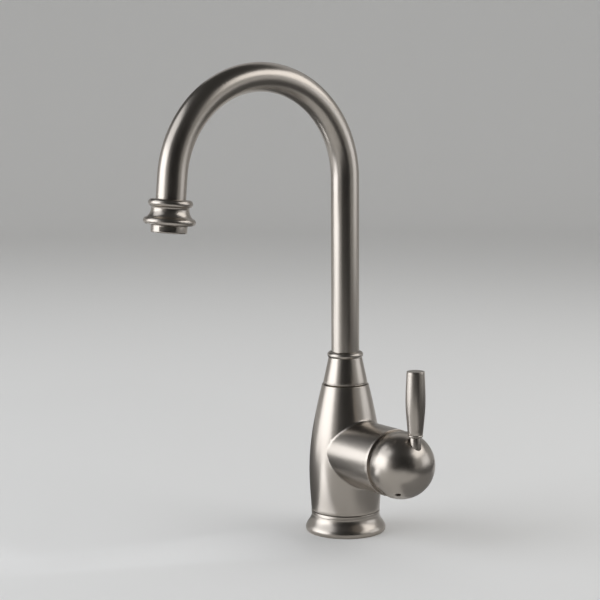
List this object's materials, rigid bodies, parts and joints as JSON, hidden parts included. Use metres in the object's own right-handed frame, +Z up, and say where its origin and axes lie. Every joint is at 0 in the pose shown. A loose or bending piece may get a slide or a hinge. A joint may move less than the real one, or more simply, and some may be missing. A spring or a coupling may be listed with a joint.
{
  "type": "gooseneck bar faucet",
  "caption": "Single-hole bar faucet with a bottle-shaped body, high swivelling gooseneck spout and a side ball handle with an upright lever.",
  "frame": {"origin": "centre of the body's foot, on the deck", "axes": "+Z up, -Y towards the spout's outlet, +X along the valve boss towards the ball handle"},
  "size_m": [0.1104, 0.1817, 0.3193],
  "materials": {
    "brushed_nickel": "warm brushed nickel plating, fine lines round each turned piece",
    "plain_brass": "turned, uncoated",
    "plain_steel": "plain stainless steel",
    "black_rubber": "matte black rubber",
    "white_plastic": "natural acetal",
    "grey_plastic": "moulded grey plastic",
    "disc_ceramic": "lapped alumina ceramic"
  },
  "bodies": {
    "base": {"base_flange": "brushed_nickel", "base_gasket": "black_rubber", "body_casting": "brushed_nickel", "swivel_washer": "white_plastic", "port_seal": "black_rubber", "cartridge_base": "white_plastic", "cartridge_oring": "black_rubber", "fixed_disc": "disc_ceramic", "cartridge_housing": "white_plastic", "cartridge_nut": "plain_brass"},
    "spout": {"swivel_spigot": "plain_brass", "swivel_oring_lower": "black_rubber", "swivel_oring_upper": "black_rubber", "swivel_guide_ring": "white_plastic", "retaining_ring": "plain_steel", "spout_collar": "brushed_nickel", "spout_tube": "brushed_nickel", "nozzle": "brushed_nickel", "aerator_gasket": "black_rubber", "aerator_housing": "brushed_nickel", "aerator_insert": "grey_plastic"},
    "rotor": {"cartridge_rotor": "grey_plastic", "rotor_oring": "black_rubber", "stem_pin": "plain_steel"},
    "disc": {"moving_disc": "disc_ceramic", "disc_carrier": "grey_plastic"},
    "handle": {"stem": "plain_steel", "handle_ball": "brushed_nickel", "handle_set_screw": "plain_steel", "lever_post": "brushed_nickel", "lever_grip": "brushed_nickel"}
  },
  "joints": [
    {"name": "spout_swivel", "type": "hinge", "parent": "base", "child": "spout", "pos_m": [0, 0, 0.102], "axis": [0, 0, 1], "continuous": true},
    {"name": "handle_temperature", "type": "hinge", "parent": "base", "child": "rotor", "pos_m": [0.0604, 0, 0.0563], "axis": [1, 0, 0], "range_deg": [-45, 45]},
    {"name": "handle_flow", "type": "hinge", "parent": "rotor", "child": "handle", "pos_m": [0.0604, 0, 0.0563], "axis": [0, 1, 0], "range_deg": [0, 20]},
    {"name": "disc_slide", "type": "slide", "parent": "rotor", "child": "disc", "axis": [0, 0, 1], "range_m": [0, 0.0042]}
  ],
  "couplings": [
    {"joint": "disc_slide", "follows": "handle_flow", "m_per_rad": 0.012}
  ]
}
